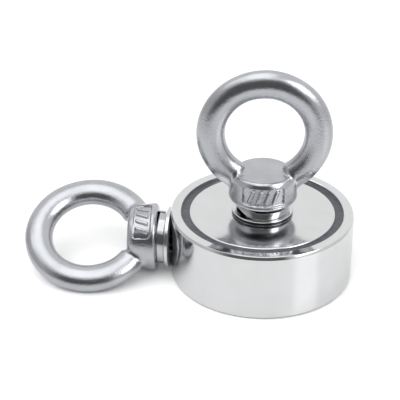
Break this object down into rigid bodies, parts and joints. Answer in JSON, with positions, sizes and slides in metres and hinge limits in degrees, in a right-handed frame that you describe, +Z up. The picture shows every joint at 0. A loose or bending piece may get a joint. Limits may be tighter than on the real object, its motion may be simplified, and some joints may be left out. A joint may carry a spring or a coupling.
{
  "type": "magnet fishing magnet",
  "caption": "Round double-sided retrieval magnet in a plated steel body, with a lifting eyebolt on top, a second eyebolt in the side wall, and spring and flat washers.",
  "frame": {"origin": "centre of the lower face of the round steel body, the face that it rests on", "axes": "+Z up along the axis of the body and of the upright eyebolt; the side eyebolt leaves the wall towards -X; -Y is the side that the mark plate of the upright eyebolt faces"},
  "size_m": [0.087, 0.048, 0.058],
  "materials": {
    "plated_body": "bright nickel plate, polished",
    "plated_magnet": "bright nickel plate, slightly hazy",
    "glue": "cured epoxy film",
    "resin": "dark grey potting resin, satin",
    "stainless": "cast stainless, tumbled to a soft polish",
    "spring_steel": "stainless spring stock, drawn finish",
    "washer_steel": "punched stainless, bright"
  },
  "bodies": {
    "magnet": {"pot_body": "plated_body", "upper_magnet": "plated_magnet", "lower_magnet": "plated_magnet", "upper_glue_film": "glue", "lower_glue_film": "glue", "upper_resin_ring": "resin", "lower_resin_ring": "resin", "top_flat_washer": "washer_steel", "side_flat_washer": "washer_steel"},
    "top_washer": {"top_spring_washer": "spring_steel"},
    "top_eye": {"top_eyebolt": "stainless"},
    "side_washer": {"side_spring_washer": "spring_steel"},
    "side_eye": {"side_eyebolt": "stainless"}
  },
  "joints": [
    {"name": "top_eyebolt_turn", "type": "hinge", "parent": "magnet", "child": "top_washer", "pos_m": [0, 0, 0.0181], "axis": [0, 0, 1], "range_deg": [0, 1981]},
    {"name": "top_eyebolt_rise", "type": "slide", "parent": "top_washer", "child": "top_eye", "axis": [0, 0, 1], "range_m": [0, 0.00688]},
    {"name": "side_eyebolt_turn", "type": "hinge", "parent": "magnet", "child": "side_washer", "pos_m": [-0.024, 0, 0.0092], "axis": [-1, 0, 0], "range_deg": [0, 3421]},
    {"name": "side_eyebolt_rise", "type": "slide", "parent": "side_washer", "child": "side_eye", "axis": [-1, 0, 0], "range_m": [0, 0.01188]}
  ],
  "couplings": [
    {"joint": "top_eyebolt_turn", "follows": "top_eyebolt_rise", "rad_per_m": 5026.5},
    {"joint": "side_eyebolt_turn", "follows": "side_eyebolt_rise", "rad_per_m": 5026.5}
  ]
}
